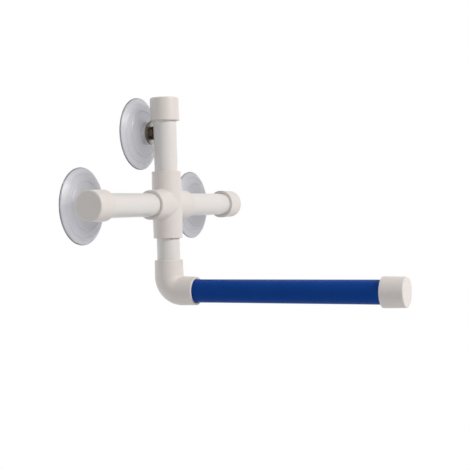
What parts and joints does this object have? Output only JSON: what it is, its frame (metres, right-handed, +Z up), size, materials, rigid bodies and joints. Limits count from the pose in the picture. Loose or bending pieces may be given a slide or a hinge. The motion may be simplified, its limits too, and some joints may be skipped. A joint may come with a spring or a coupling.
{
  "type": "bird shower perch",
  "caption": "Wall perch of white pipe and push-on fittings on clear suction cups, with a blue perch bar that swings to either side.",
  "frame": {"origin": "on the wall plane that the suction cups touch, behind the centre of the cross fitting", "axes": "+Z up, +Y into the wall, X along the two side arms; the perch bar runs out along -Y"},
  "size_m": [0.247, 0.242, 0.1822],
  "materials": {
    "white_fitting": "satin moulded",
    "white_pipe": "satin extruded",
    "blue_pipe": "satin",
    "clear_soft_pvc": "clear glossy",
    "zinc_steel": "zinc plated"
  },
  "bodies": {
    "wall_frame": {"cross_fitting": "white_fitting", "riser_pipe": "white_pipe", "left_arm_pipe": "white_pipe", "right_arm_pipe": "white_pipe", "top_cap": "white_fitting", "left_cap": "white_fitting", "right_cap": "white_fitting", "top_suction_cup": "clear_soft_pvc", "left_suction_cup": "clear_soft_pvc", "right_suction_cup": "clear_soft_pvc", "top_back_washer": "zinc_steel", "top_back_nut": "zinc_steel", "left_back_washer": "zinc_steel", "left_back_nut": "zinc_steel", "right_back_washer": "zinc_steel", "right_back_nut": "zinc_steel", "top_cup_stud": "zinc_steel", "top_inner_washer": "zinc_steel", "top_inner_nut": "zinc_steel", "left_cup_stud": "zinc_steel", "left_inner_washer": "zinc_steel", "left_inner_nut": "zinc_steel", "right_cup_stud": "zinc_steel", "right_inner_washer": "zinc_steel", "right_inner_nut": "zinc_steel"},
    "swing_perch": {"drop_pipe": "white_pipe", "elbow_fitting": "white_fitting", "perch_bar": "blue_pipe", "perch_end_cap": "white_fitting"}
  },
  "joints": [
    {"name": "perch_swing", "type": "hinge", "parent": "wall_frame", "child": "swing_perch", "pos_m": [0, -0.027, -0.021], "axis": [0, 0, 1], "range_deg": [-90, 90]}
  ]
}
